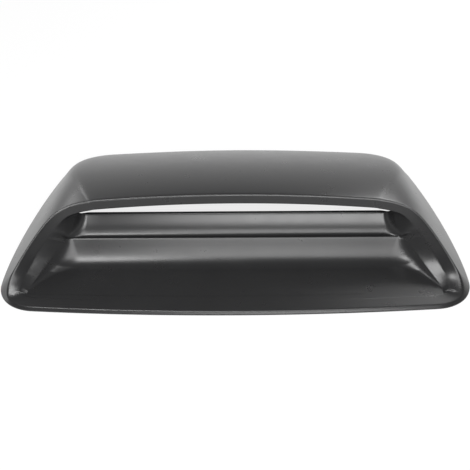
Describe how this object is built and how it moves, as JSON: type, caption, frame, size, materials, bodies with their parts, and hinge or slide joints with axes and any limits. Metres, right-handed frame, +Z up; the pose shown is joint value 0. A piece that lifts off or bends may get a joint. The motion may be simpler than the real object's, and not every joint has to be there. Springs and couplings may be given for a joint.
{
  "type": "bonnet scoop",
  "caption": "Low wide bonnet scoop moulded in one shell, with a raked air mouth, rolled rim band, stepped tray and open underside with screw bosses.",
  "frame": {"origin": "middle of the footprint, on the face that lies on the bonnet", "axes": "+Z up off the bonnet, +X to the right across the width, the air mouth faces -Y"},
  "size_m": [0.664, 0.393, 0.0901],
  "materials": {
    "black_plastic": "satin black, fine moulded grain"
  },
  "bodies": {
    "root": {"scoop_moulding": "black_plastic"}
  },
  "joints": []
}
